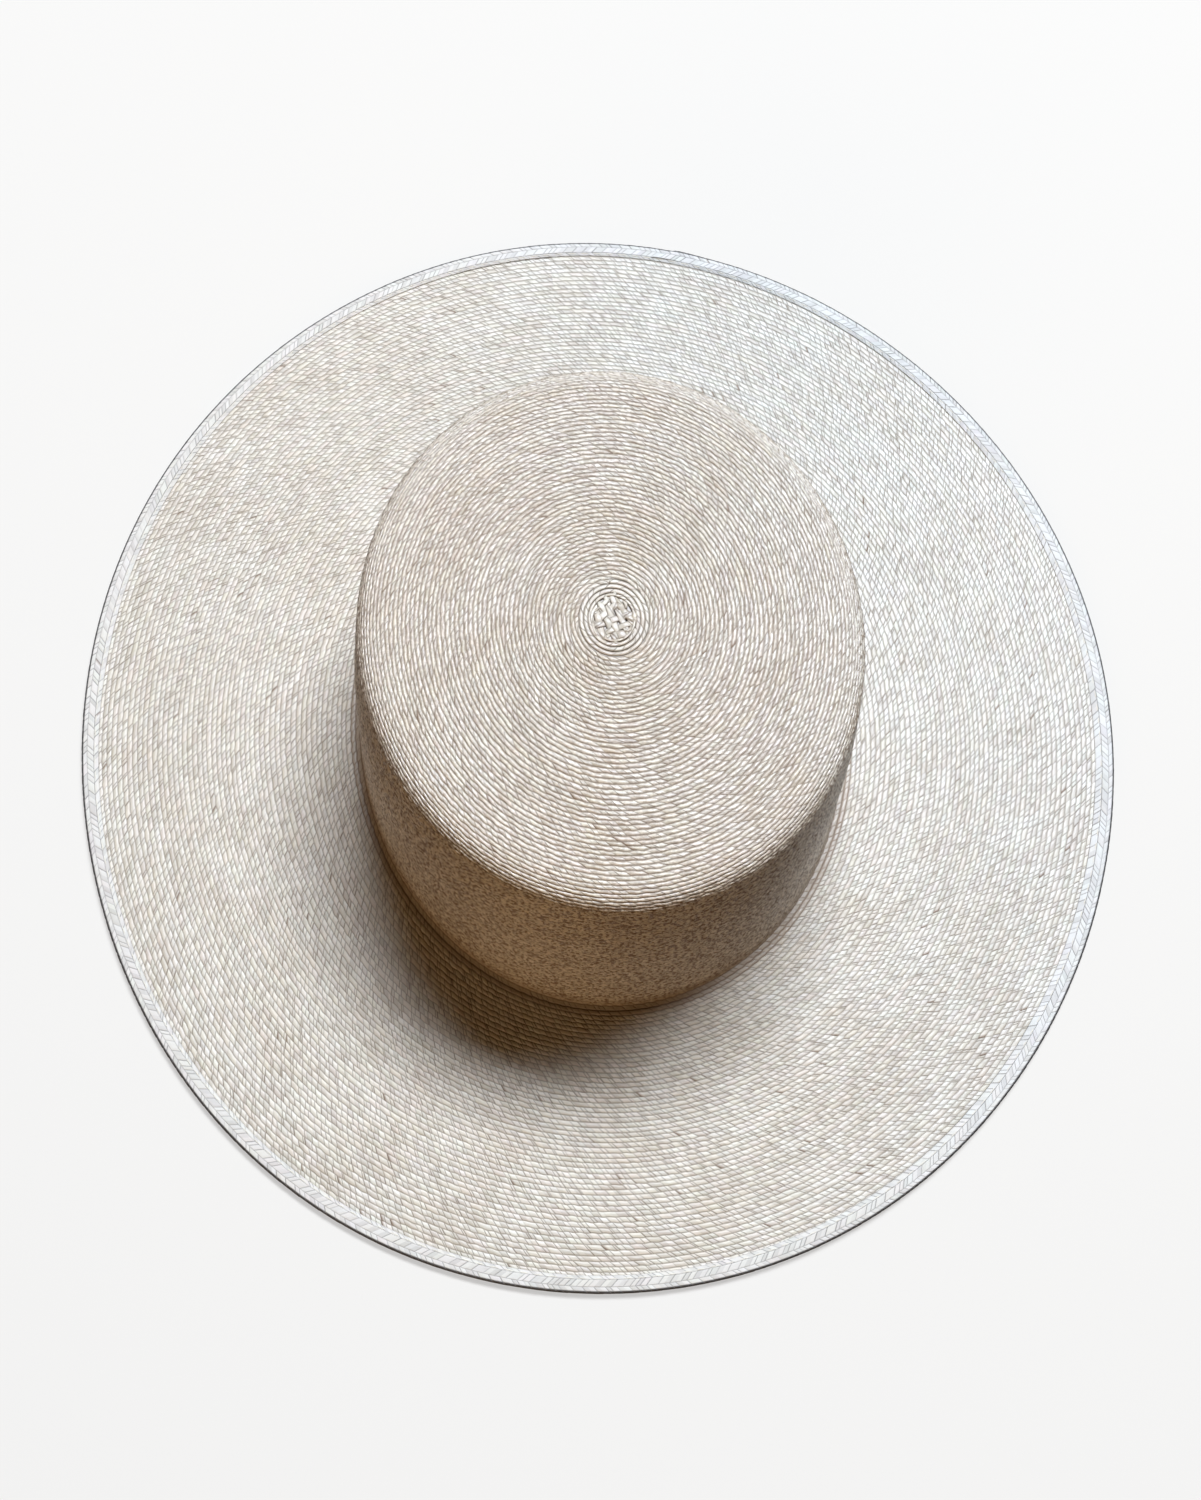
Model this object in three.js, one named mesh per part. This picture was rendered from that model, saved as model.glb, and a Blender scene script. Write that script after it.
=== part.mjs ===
// A flat-crowned, wide-brimmed straw hat, sewn from palm braid.
// Millimetres, +Z up. The hat stands on its brim at z = 0, with the front towards -Y and the
// centre of the head opening on the Z axis.
//
// Everything here is a thin ring around an oval head. Each piece is drawn as a section in two
// numbers, its distance from the axis and its height, turned about the axis as if the hat were
// round, and then drawn out into the oval.

import * as THREE from 'three';

// Driving dimensions of the crown.
const BASE_HALF_WIDTH = 88.3; // outer face of the crown where it meets the brim, along X
const BASE_HALF_LENGTH = 100.4; // the same, along Y
const HAT_HEIGHT = 106.5;
const WALL_LEAN = THREE.MathUtils.degToRad(6.2); // the side leans in as it rises
const SHOULDER_RADIUS = 9;
const TOP_RISE = 3.5; // how far the top swells above its shoulder
const BREAK_RADIUS = 4; // inside corner where the side turns out into the brim
const BUTTON_RADIUS = 10; // plaited rosette that the braid starts from

// Driving dimensions of the brim and its bound edge.
const BRIM_WIDTH = 94.5;
const STRAW = 2; // thickness of the sewn braid
const PLAIT = 0.8; // thickness of the thin plait folded over the edge
const PLAIT_WIDTH = 4.6; // how far each leg of that plait reaches in
const ROW_WIDTH = 1.9; // flat row that lies on the brim just inside the plait
const ROW_THICKNESS = 0.6;
const SEAM_WIDTH = 0.6; // groove between the two, where the seam thread lies
const WIRE_RADIUS = 0.7;
const THREAD_RADIUS = 0.25;

// Driving dimensions of the lining parts.
const BAND_HEIGHT = 32;
const BAND_THICKNESS = 1.2;
const BAND_FOOT = 1.2; // height of the band's lower edge
const TAB_WIDTH = 12;
const TAB_THICKNESS = 0.8;
const STITCH_HEIGHT = 2.5; // the band's seam, above its lower edge

const GAP = 0.3; // between pieces that touch
const TURN_STEPS = 64; // flats around the oval
const ARC_STEPS = 5;
const THREAD_SIDES = 6;
const WIRE_SIDES = 8;

const STRAW_COLOUR = 0xdcd5ca;
const PLAIT_COLOUR = 0xe3e1dc;
const BAND_COLOUR = 0xcdbfa6;
const THREAD_COLOUR = 0xe9e4d8;
const WIRE_COLOUR = 0x9b9a96;

// Heights of the layers at the edge, from the plait's lower leg up.
const BRIM_BOTTOM = PLAIT + GAP;
const BRIM_TOP = BRIM_BOTTOM + STRAW;
const EDGE_TOP = BRIM_TOP + GAP + PLAIT;
const EDGE_REACH = BASE_HALF_WIDTH + BRIM_WIDTH;

// The side's outer face is a straight line that passes the crown's base line at the brim's top.
const sideReach = (height) => BASE_HALF_WIDTH - (height - BRIM_TOP) * Math.tan(WALL_LEAN);
const fromSide = (distance, height) => sideReach(height) + distance / Math.cos(WALL_LEAN);

// The break's arc has its centre out over the brim, and touches both the side and the brim.
const breakCentre = new THREE.Vector2(
  fromSide(BREAK_RADIUS, BRIM_TOP + BREAK_RADIUS),
  BRIM_TOP + BREAK_RADIUS,
);

// The shoulder's arc has its centre inside the crown, and touches both the side and the top.
const shoulderHeight = HAT_HEIGHT - TOP_RISE - SHOULDER_RADIUS;
const shoulderCentre = new THREE.Vector2(
  fromSide(-SHOULDER_RADIUS, shoulderHeight),
  shoulderHeight,
);

// The top is part of a large sphere centred on the axis, tangent to the shoulder.
const shoulderDrop = HAT_HEIGHT - shoulderHeight;
const topRadius = (shoulderCentre.x ** 2 + shoulderDrop ** 2 - SHOULDER_RADIUS ** 2) / (2 * TOP_RISE);
const topSlope = Math.atan2(shoulderCentre.x, topRadius - shoulderDrop);

// Semi-axes of the oval that a circle of the given radius becomes. Inside the crown's base line
// the ovals shrink to the axis in proportion; outside it they keep the brim's width constant.
function ovalAxes(radius) {
  const reach = radius - BASE_HALF_WIDTH;
  const growth = reach > 0 ? reach : (reach * BASE_HALF_LENGTH) / BASE_HALF_WIDTH;
  return [radius, BASE_HALF_LENGTH + growth];
}

// A point at this turn, distance from the axis and height, on the oval hat.
function ovalPoint(turn, radius, height) {
  const [halfWidth, halfLength] = ovalAxes(radius);
  return new THREE.Vector3(halfWidth * Math.cos(turn), halfLength * Math.sin(turn), height);
}

function material(color, roughness, metalness = 0) {
  return new THREE.MeshStandardMaterial({ color, roughness, metalness });
}

function piece(name, geometry, look) {
  const mesh = new THREE.Mesh(geometry, look);
  mesh.name = name;
  return mesh;
}

// Turns a section about the axis and draws the round result out into the oval. The section's
// points go up the outside, so that the faces point out.
function ovalRing(section) {
  const geometry = new THREE.LatheGeometry(section, TURN_STEPS);
  geometry.rotateX(Math.PI / 2);
  geometry.deleteAttribute('normal');
  geometry.deleteAttribute('uv');
  const places = geometry.getAttribute('position');
  for (let i = 0; i < places.count; i += 1) {
    const radius = Math.hypot(places.getX(i), places.getY(i));
    const turn = Math.atan2(places.getY(i), places.getX(i));
    const place = ovalPoint(turn, radius, places.getZ(i));
    places.setXYZ(i, place.x, place.y, place.z);
  }
  geometry.computeVertexNormals();
  return geometry;
}

// Points of an arc in the section plane.
function arc(centre, radius, from, to, steps = ARC_STEPS) {
  const points = [];
  for (let i = 0; i <= steps; i += 1) {
    const angle = from + ((to - from) * i) / steps;
    points.push(
      new THREE.Vector2(centre.x + radius * Math.cos(angle), centre.y + radius * Math.sin(angle)),
    );
  }
  return points;
}

// A closed ring's section ends where it starts.
function closed(points) {
  return [...points, points[0].clone()];
}

function box(inner, outer, bottom, top) {
  return closed([
    new THREE.Vector2(inner, bottom),
    new THREE.Vector2(outer, bottom),
    new THREE.Vector2(outer, top),
    new THREE.Vector2(inner, top),
  ]);
}

// Section of a strip that follows the side's lean, between two distances from its outer face.
function leaningStrip(innerDistance, outerDistance, bottom, top) {
  return closed([
    new THREE.Vector2(fromSide(innerDistance, bottom), bottom),
    new THREE.Vector2(fromSide(outerDistance, bottom), bottom),
    new THREE.Vector2(fromSide(outerDistance, top), top),
    new THREE.Vector2(fromSide(innerDistance, top), top),
  ]);
}

function round(centre, radius, sides) {
  const points = arc(centre, radius, 0, 2 * Math.PI, sides);
  points[sides] = points[0].clone();
  return points;
}

// The plaited start of the braid: a flat disc at the middle of the top.
function crownButton() {
  return [
    new THREE.Vector2(0, HAT_HEIGHT - STRAW),
    new THREE.Vector2(BUTTON_RADIUS, HAT_HEIGHT - STRAW),
    new THREE.Vector2(BUTTON_RADIUS, HAT_HEIGHT),
    new THREE.Vector2(0, HAT_HEIGHT),
  ];
}

// The top, from the button out and over the shoulder.
function crownTip() {
  const topCentre = new THREE.Vector2(0, HAT_HEIGHT - topRadius);
  const start = Math.PI / 2 - Math.asin((BUTTON_RADIUS + GAP) / topRadius);
  const end = Math.PI / 2 - topSlope;
  const outside = [
    ...arc(shoulderCentre, SHOULDER_RADIUS, WALL_LEAN, end),
    ...arc(topCentre, topRadius, end, start).slice(1),
  ];
  const inside = [
    ...arc(topCentre, topRadius - STRAW, start, end),
    ...arc(shoulderCentre, SHOULDER_RADIUS - STRAW, end, WALL_LEAN).slice(1),
  ];
  return closed([...outside, ...inside]);
}

// The side, from the brim's break up to the shoulder.
function crownSide() {
  const along = new THREE.Vector2(-Math.sin(WALL_LEAN), Math.cos(WALL_LEAN));
  const across = new THREE.Vector2(Math.cos(WALL_LEAN), Math.sin(WALL_LEAN));
  const outerEnd = shoulderCentre
    .clone()
    .addScaledVector(across, SHOULDER_RADIUS)
    .addScaledVector(along, -GAP);
  const innerEnd = outerEnd.clone().addScaledVector(across, -STRAW);
  const down = 1.5 * Math.PI;
  const flat = Math.PI + WALL_LEAN;
  return closed([
    ...arc(breakCentre, BREAK_RADIUS, down, flat),
    outerEnd,
    innerEnd,
    ...arc(breakCentre, BREAK_RADIUS + STRAW, flat, down),
  ]);
}

// The flat brim, which stops short of the wire in its folded edge.
function brim() {
  const wireReach = EDGE_REACH - EDGE_TOP / 2;
  return box(breakCentre.x + GAP, wireReach - WIRE_RADIUS - GAP, BRIM_BOTTOM, BRIM_TOP);
}

// The thin plait folded over the edge: a fold with an upper and a lower leg.
function edgeBraid() {
  const centre = new THREE.Vector2(EDGE_REACH - EDGE_TOP / 2, EDGE_TOP / 2);
  const legEnd = EDGE_REACH - PLAIT_WIDTH;
  const quarter = Math.PI / 2;
  return closed([
    new THREE.Vector2(legEnd, 0),
    ...arc(centre, EDGE_TOP / 2, -quarter, quarter, 2 * ARC_STEPS),
    new THREE.Vector2(legEnd, EDGE_TOP),
    new THREE.Vector2(legEnd, EDGE_TOP - PLAIT),
    ...arc(centre, EDGE_TOP / 2 - PLAIT, quarter, -quarter, ARC_STEPS),
    new THREE.Vector2(legEnd, PLAIT),
  ]);
}

function brimWire() {
  const centre = new THREE.Vector2(EDGE_REACH - EDGE_TOP / 2, EDGE_TOP / 2);
  return round(centre, WIRE_RADIUS, WIRE_SIDES);
}

// The flat row beside the plait, lying on the brim.
function edgeRow() {
  const outer = EDGE_REACH - PLAIT_WIDTH - SEAM_WIDTH;
  const bottom = BRIM_TOP + GAP;
  return box(outer - ROW_WIDTH, outer, bottom, bottom + ROW_THICKNESS);
}

function edgeThread() {
  const reach = EDGE_REACH - PLAIT_WIDTH - SEAM_WIDTH / 2;
  const centre = new THREE.Vector2(reach, BRIM_TOP + 0.5 * GAP + THREAD_RADIUS);
  return round(centre, THREAD_RADIUS, THREAD_SIDES);
}

// The ribbon inside the head opening, against the side.
function sweatband() {
  const outerDistance = -STRAW - GAP;
  return leaningStrip(outerDistance - BAND_THICKNESS, outerDistance, BAND_FOOT, BAND_FOOT + BAND_HEIGHT);
}

function sweatbandThread() {
  const height = BAND_FOOT + STITCH_HEIGHT;
  const distance = -STRAW - 1.5 * GAP - BAND_THICKNESS - THREAD_RADIUS;
  return round(new THREE.Vector2(fromSide(distance, height), height), THREAD_RADIUS, THREAD_SIDES);
}

// A short ribbon that covers the sweatband's joint at the back, bent to the oval.
function sweatbandTab() {
  const stitchTop = BAND_FOOT + STITCH_HEIGHT + 2 * THREAD_RADIUS;
  const bottom = stitchTop + GAP;
  const height = BAND_FOOT + BAND_HEIGHT - bottom;
  const geometry = new THREE.BoxGeometry(TAB_WIDTH, TAB_THICKNESS, height, 4, 1, 1);
  geometry.deleteAttribute('normal');
  geometry.deleteAttribute('uv');
  const places = geometry.getAttribute('position');
  const outerDistance = -STRAW - 2 * GAP - BAND_THICKNESS;
  for (let i = 0; i < places.count; i += 1) {
    const level = bottom + height / 2 + places.getZ(i);
    const distance = outerDistance - TAB_THICKNESS / 2 + places.getY(i);
    const radius = fromSide(distance, level);
    const turn = Math.PI / 2 - places.getX(i) / radius;
    const place = ovalPoint(turn, radius, level);
    places.setXYZ(i, place.x, place.y, place.z);
  }
  geometry.computeVertexNormals();
  return geometry;
}

const straw = material(STRAW_COLOUR, 0.62);
const plait = material(PLAIT_COLOUR, 0.55);
const ribbon = material(BAND_COLOUR, 0.85);
const thread = material(THREAD_COLOUR, 0.7);
const wire = material(WIRE_COLOUR, 0.4, 1);

const hat = new THREE.Group();
hat.add(
  piece('crown_button', ovalRing(crownButton()), straw),
  piece('crown_tip', ovalRing(crownTip()), straw),
  piece('crown_side', ovalRing(crownSide()), straw),
  piece('brim', ovalRing(brim()), straw),
  piece('brim_wire', ovalRing(brimWire()), wire),
  piece('edge_braid', ovalRing(edgeBraid()), plait),
  piece('edge_row', ovalRing(edgeRow()), plait),
  piece('edge_thread', ovalRing(edgeThread()), thread),
  piece('sweatband', ovalRing(sweatband()), ribbon),
  piece('sweatband_tab', sweatbandTab(), ribbon),
  piece('sweatband_thread', ovalRing(sweatbandThread()), thread),
);

export default hat;
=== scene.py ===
# A flat-crowned palm straw hat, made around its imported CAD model. Metres, +Z up.
#
# The straw is one long braid, sewn in a spiral from a plaited rosette at the middle of the top,
# over the shoulder, down the side and out along the brim. Each turn of the spiral shows as a rib,
# and each rib is a row of overlapping strands. The ribs and strands are real geometry, on both
# faces of closed sheets. A UV map named "weave" tells the materials where each strand lies:
# U counts strands along the braid, and V counts ribs across it.

import math

import bpy
import numpy as np
from mathutils import Matrix, Vector


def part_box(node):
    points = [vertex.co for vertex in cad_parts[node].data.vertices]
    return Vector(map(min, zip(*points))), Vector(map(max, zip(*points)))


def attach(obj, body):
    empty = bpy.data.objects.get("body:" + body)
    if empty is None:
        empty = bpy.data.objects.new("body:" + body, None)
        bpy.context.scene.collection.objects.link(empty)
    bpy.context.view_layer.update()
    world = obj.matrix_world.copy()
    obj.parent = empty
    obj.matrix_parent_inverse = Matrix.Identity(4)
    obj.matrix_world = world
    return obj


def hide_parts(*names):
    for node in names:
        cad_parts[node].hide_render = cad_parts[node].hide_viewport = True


MM = 0.001
FULL_TURN = 2 * math.pi
BACK = math.pi / 2  # the turn angle of the back of the hat, where seams are put

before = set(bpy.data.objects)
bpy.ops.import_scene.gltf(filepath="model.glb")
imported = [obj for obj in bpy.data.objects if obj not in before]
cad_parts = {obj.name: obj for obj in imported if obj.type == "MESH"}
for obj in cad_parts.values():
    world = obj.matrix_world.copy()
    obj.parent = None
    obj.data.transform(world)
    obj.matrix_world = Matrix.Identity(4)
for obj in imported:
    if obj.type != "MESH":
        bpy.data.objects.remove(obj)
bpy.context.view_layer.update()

# ---------------------------------------------------------------------------------------------
# Sizes, from the CAD model's boxes and the few section sizes that a box doesn't show
# ---------------------------------------------------------------------------------------------

WALL_LEAN = math.radians(6.2)
SHOULDER_RADIUS = 9 * MM
TOP_RISE = 3.5 * MM
BREAK_RADIUS = 4 * MM

_, button_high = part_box("crown_button")
_, side_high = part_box("crown_side")
brim_low, brim_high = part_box("brim")
_, braid_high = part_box("edge_braid")
_, row_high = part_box("edge_row")
thread_low, thread_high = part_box("edge_thread")
wire_low, wire_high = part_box("brim_wire")
band_low, band_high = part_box("sweatband")
tab_low, tab_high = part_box("sweatband_tab")
stitch_low, stitch_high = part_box("sweatband_thread")

HAT_HEIGHT = button_high.z
BUTTON_RADIUS = button_high.x
BRIM_TOP = brim_high.z
STRAW = brim_high.z - brim_low.z
EDGE_RADIUS = braid_high.x
EDGE_TOP = braid_high.z
# How far out a fillet at the side's foot ends, in its own radii.
LEAN_REACH = 1 / math.cos(WALL_LEAN) - math.tan(WALL_LEAN)
BASE_HALF_WIDTH = side_high.x - BREAK_RADIUS * LEAN_REACH
BASE_HALF_LENGTH = braid_high.y - braid_high.x + BASE_HALF_WIDTH

# The braid.
FOOT_RADIUS = 1.6 * MM  # the straw turns more sharply at the side's foot than the CAD model does
FOOT_DAMPING = 0.35  # share of the ribs' height that is lost there
FOOT_DAMPED = 2 * MM  # and how far from the foot
FOOT_TUCK = 3.2 * MM  # how much nearer the middle the foot is at the left and right
TUCK_HEIGHT = 75 * MM  # the side is back at the CAD model's width here
TUCK_REACH = 40 * MM  # and the brim is, this far from the foot
TOP_PITCH = 1.34 * MM  # width of a rib near the middle of the top
SHOULDER_PITCH = 1.25 * MM
FOOT_PITCH = 1.6 * MM  # where the side meets the brim
BRIM_PITCH = 1.8 * MM  # at the brim's edge
TOP_RELIEF = 0.5 * MM  # height of a rib above its grooves
SIDE_RELIEF = 0.4 * MM
BRIM_RELIEF = 0.27 * MM
INSIDE_RELIEF = 0.8  # height of the ribs on the hat's inside, as a share of those outside
TOP_STRAND = 5.3 * MM  # mean length of a strand
BRIM_STRAND = 4.4 * MM
STRAND_SLANT = 0.4  # how far a strand's end runs along the rib as it crosses it, in strands
CREST_DRIFT = 0.16  # how far a strand's crest crosses its rib along its length, in ribs
TOP_SPLITS = 0.45  # share of the strands that show as two short ones
BRIM_SPLITS = 0.85
RIB_WOBBLE = 0.16 * MM  # how far a strand pushes its groove aside
BULGE_SHIFT = 0.08  # how far from its middle a strand pushes most, in strands
RIB_UNEVENNESS = 0.08  # share by which ribs differ in width
# Waves in the brim's outline: size, count round the hat, and start.
EDGE_WAVES = ((0.5 * MM, 2, 0.4), (0.5 * MM, 3, 1.9), (0.3 * MM, 5, 0.7))
ACROSS = 5  # mesh steps across a rib
STEP = 0.85 * MM  # mesh step along a rib
MOST_QUADS = 98_000  # in one piece of the straw

# The plait folded over the brim's edge, and the flat row beside it.
PLAIT_WIDTH = 4.6 * MM
PLAIT_PITCH = 4.0 * MM  # along the edge, from one strand to the next
PLAIT_COLUMNS = 5
PLAIT_CELLS = 6  # mesh steps across one strand
PLAIT_SKEW = 0.58  # how far a strand runs along the edge as it crosses its column, in strands
PLAIT_RELIEF = 0.25 * MM
LEG_DROP = 0.1 * MM
PLAIT_TOP = EDGE_TOP - 0.45 * MM  # the strands are thinner than the CAD model's solid
STRAND_THICKNESS = 0.4 * MM
FOLD_RADIUS = 1.0 * MM
LAP_TURN = math.radians(76)  # where the plait's two ends overlap
LAP_LENGTH = 14 * MM
LAP_RISE = 0.35 * MM

ROW_WIDTH = 1.6 * MM  # mean width of the flat row
ROW_SIDE = 0.35 * MM  # how much wider it is on one side than on the other
ROW_SPREAD = 0.4 * MM  # how much wider it is at two sides than between them
ROW_WIDE_TURN = math.radians(340)
ROW_RISE = 0.68 * MM
ROW_SKEW = 0.55  # how far its strands run along it as they cross it, in strands
THREAD_WIDTH = 0.4 * MM
SEAM_PITCH = 5 * MM
SEAM_STITCH = 3.2 * MM  # length of one stitch
SEAM_LIFT = 0.1 * MM  # above the bottom of the CAD model's thread

# The rosette.
ROSETTE_DEPTH = 0.75 * MM
ROSETTE_LEVEL = HAT_HEIGHT - 0.38 * MM  # middle of its strands
ROSETTE_STRAND = 0.34 * MM  # thickness of a strand
PATCH_STRANDS = 5  # each way
PATCH_PITCH = 2.35 * MM
PATCH_RADIUS = 6.7 * MM
PATCH_TURN = math.radians(24)
WHORL_STRANDS = 8
WHORL_START = 4.9 * MM
WHORL_END = 6.9 * MM
WHORL_WIDTH = 1.5 * MM
START_TURNS = 2.6  # of the strand that winds round the whorl and into the first rib
START_WIDTH = 0.8 * MM
START_DEPTH = 0.5 * MM
START_THICKNESS = 0.75 * MM

# The lining.
BAND_THICKNESS = 1.2 * MM
BAND_GAP = 0.3 * MM
GROSGRAIN_RIB = 0.9 * MM
TAB_THICKNESS = 0.8 * MM
TAB_GAP = 0.1 * MM
TAB_INSET = 0.3 * MM  # of its ends, from the CAD model's
TAB_STEPS = 24
BAND_SEAM_PITCH = 4 * MM
BAND_STITCH = 2.8 * MM
BAND_STITCH_LEAN = 0.3 * MM

# Slow changes of the straw's colour over the hat, most of them painted light and shade.
PAINTED_WINDOW_WAY = (math.cos(math.radians(20)), math.sin(math.radians(20)), 0)  # the side painted cooler, as painted cool light from the window
PAINTED_WINDOW_TINT = (1.0, 1.05, 1.11, 1)
PAINTED_WINDOW_FROM = -60 * MM  # along that way, where the tint starts
PAINTED_WINDOW_TO = 160 * MM  # and where it is full
MARK_COLOUR = (0.20, 0.11, 0.055, 1)
# Nearly black, painted as shade along the plait's fold.
PAINTED_FOLD_SHADE_COLOUR = (0.07, 0.065, 0.06, 1)
UPWARDS = (0, 0, 1)
PAINTED_FOOT_SHADE_HEIGHT = 7 * MM  # the side is painted darker below this, as painted shade at its foot
PAINTED_FOOT_SHADE = 0.4
FLECKS_PER_METRE = 850.0
FLECK_AND_SIDE_SHADE_STRENGTH = (0.95, 0.3)  # on the side, and on the top; the side's stronger flecks are partly painted shade
FLECK_FADE = (11 * MM, 4 * MM)  # down from the top, where the one turns into the other
FLECK_FOOT = (-0.5 * MM, 2 * MM)  # above the brim, where the flecks start and where they are full
SHOULDER_SHADE_FADE = (7 * MM, 2 * MM)  # down from the top, where the side's painted warmer shade turns into the top
SHOULDER_PAINTED_SHADE = 0.35

# The light, camera and surround.
WINDOW_HEIGHT = math.radians(63.8)
WINDOW_TURN = math.radians(63)  # round from the hat's right
WINDOW_DISTANCE = 3.9
WINDOW_SIZE = (1.95, 0.95)
WINDOW_POWER = 259
WINDOW_COLOUR = (0.80, 0.875, 1.0)
ROOM_WAY = (-0.5, -0.95, 0.12)
ROOM_ANGLE = math.radians(50)
ROOM_STRENGTH = 1.33
ROOM_COLOUR = (1.0, 0.64, 0.33)
CAMERA_TILT = 0.300  # from straight above
CAMERA_TWIST = 0.219
CAMERA_ROLL = -0.121
CAMERA_DISTANCE = 656.6 * MM
CAMERA_LENS = 44.35
CAMERA_AIM = (1.01 * MM, -8.8 * MM, 0)  # before the twist
CAMERA_NEAR = 0.01
FLOOR_SIZE = 40
FLOOR_GLOW = (0.53, 0.93)  # beside the hat, and far from it
FLOOR_GLOW_REACH = (0.5, 6.0)


# ---------------------------------------------------------------------------------------------
# Geometry helpers
# ---------------------------------------------------------------------------------------------

def place(turn, radius, height):
    """Points on the oval hat. The radius and height are those of the same point on a round one."""
    reach = radius - BASE_HALF_WIDTH
    growth = np.where(reach > 0, reach, reach * BASE_HALF_LENGTH / BASE_HALF_WIDTH)
    flare = np.clip(reach / (EDGE_RADIUS - BASE_HALF_WIDTH), 0, 1) ** 2
    wave = flare * sum(size * np.sin(count * turn + start) for size, count, start in EDGE_WAVES)
    tuck = FOOT_TUCK * smooth_step(TUCK_HEIGHT, 0, height) * smooth_step(TUCK_REACH, 0, reach)
    x = (radius + wave - tuck * np.minimum(radius / BASE_HALF_WIDTH, 1)) * np.cos(turn)
    y = (BASE_HALF_LENGTH + growth + wave) * np.sin(turn)
    return np.stack(np.broadcast_arrays(x, y, height), axis=-1)


def girth(radius):
    """Close to the length round the oval that a circle of this radius becomes."""
    longer = (BASE_HALF_LENGTH - BASE_HALF_WIDTH) / 2 * np.minimum(radius / BASE_HALF_WIDTH, 1)
    return FULL_TURN * (radius + longer)


def side_reach(height):
    """Distance from the axis of the crown's outer face at a height."""
    return BASE_HALF_WIDTH - (height - BRIM_TOP) * math.tan(WALL_LEAN)


class Path:
    """A curve of (distance from axis, height) points, with its length and left-hand normals."""

    def __init__(self, points):
        self.points = np.array(points, float)
        steps = np.hypot(*np.diff(self.points, axis=0).T)
        self.places = np.concatenate([[0], np.cumsum(steps)])
        tangents = np.gradient(self.points, self.places, axis=0)
        tangents /= np.linalg.norm(tangents, axis=1)[:, None]
        self.normals = np.stack([-tangents[:, 1], tangents[:, 0]], axis=1)
        self.length = self.places[-1]

    def at(self, place_on_path, lift):
        """Radius and height at a place along the path, lifted off it along the normal."""
        columns = (*self.points.T, *self.normals.T)
        radius, height, across, up = (np.interp(place_on_path, self.places, c) for c in columns)
        return radius + across * lift, height + up * lift

    def facing(self, place_on_path):
        """The normal at a place along the path."""
        return np.stack([np.interp(place_on_path, self.places, part) for part in self.normals.T], axis=1)


def line(start, end, step=0.25 * MM):
    count = max(2, round(math.dist(start, end) / step))
    return [tuple(p) for p in np.linspace(start, end, count, endpoint=False)]


def arc(centre, radius, start, end, step=0.25 * MM):
    count = max(4, round(abs(end - start) * radius / step))
    angles = np.linspace(start, end, count, endpoint=False)
    return [(centre[0] + radius * math.cos(a), centre[1] + radius * math.sin(a)) for a in angles]


def new_mesh(name, points, faces, weave, flat_faces=0, normals=None):
    """An object from arrays of points, four-cornered faces and the weave UV of each face's corners.
    The last flat_faces faces are flat shaded. Points whose given normal isn't zero keep that normal."""
    mesh = bpy.data.meshes.new(name)
    mesh.vertices.add(len(points))
    mesh.vertices.foreach_set("co", np.ascontiguousarray(points, np.float32).ravel())
    mesh.loops.add(faces.size)
    mesh.loops.foreach_set("vertex_index", faces.ravel().astype(np.int32))
    mesh.polygons.add(len(faces))
    mesh.polygons.foreach_set("loop_start", np.arange(0, faces.size, 4, dtype=np.int32))
    smooth = np.ones(len(faces), bool)
    smooth[len(faces) - flat_faces:] = False
    mesh.polygons.foreach_set("use_smooth", smooth)
    layer = mesh.uv_layers.new(name="weave")
    layer.uv.foreach_set("vector", np.ascontiguousarray(weave, np.float32).ravel())
    mesh.update(calc_edges=True)
    mesh.validate()
    if normals is not None:
        mesh.normals_split_custom_set_from_vertices(normals)
    piece = bpy.data.objects.new(name, mesh)
    bpy.context.scene.collection.objects.link(piece)
    return piece


def finish_piece(piece, material, slot, *nodes):
    piece.data.materials.append(material)
    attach(piece, "root")
    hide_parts(*nodes)
    return piece


def quads(*corners):
    """Four-cornered faces, from four arrays with one corner of every face in each."""
    return np.stack([c.ravel() for c in corners], axis=1)


def wrapped_faces(rows, columns):
    """Faces of a grid that closes on itself both ways."""
    row, column = np.meshgrid(np.arange(rows), np.arange(columns), indexing="ij")
    next_row = (row + 1) % rows
    next_column = (column + 1) % columns
    return quads(row * columns + column, next_row * columns + column,
                 next_row * columns + next_column, row * columns + next_column)


def face_weave(along, along_next, across, across_next):
    """The weave UV of each face's four corners, from values of the shape of the grid of faces."""
    u = (along, along, along_next, along_next)
    v = (across, across_next, across_next, across)
    corners = (np.broadcast_arrays(*uv) for uv in zip(u, v))
    return np.stack([np.stack([a.ravel(), b.ravel()], axis=1) for a, b in corners], axis=1)


def ring(name, turn, radius, height, strand, lean=0.0):
    """A closed ring. Rows of points go clockwise round its section and columns go round the hat.
    The weave's U counts strands of the given length, and leans by some of them round the section."""
    rows, columns = np.broadcast(turn, radius, height).shape
    column = np.arange(columns)
    per_step = girth(np.mean(radius)) / columns / strand
    row = np.arange(rows)[:, None]
    weave = face_weave(column * per_step, (column + 1) * per_step, row / rows, (row + 1) / rows)
    weave[..., 0] += lean * weave[..., 1]
    points = place(turn, radius, height).reshape(-1, 3)
    return new_mesh(name, points, wrapped_faces(rows, columns), weave)


# Section of a flat strip with soft edges: places across and up, from -0.5 to 0.5.
STRIP_SECTION = ((-0.5, 0), (-0.42, 0.34), (0, 0.5), (0.42, 0.34),
                 (0.5, 0), (0.42, -0.34), (0, -0.5), (-0.42, -0.34))


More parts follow.
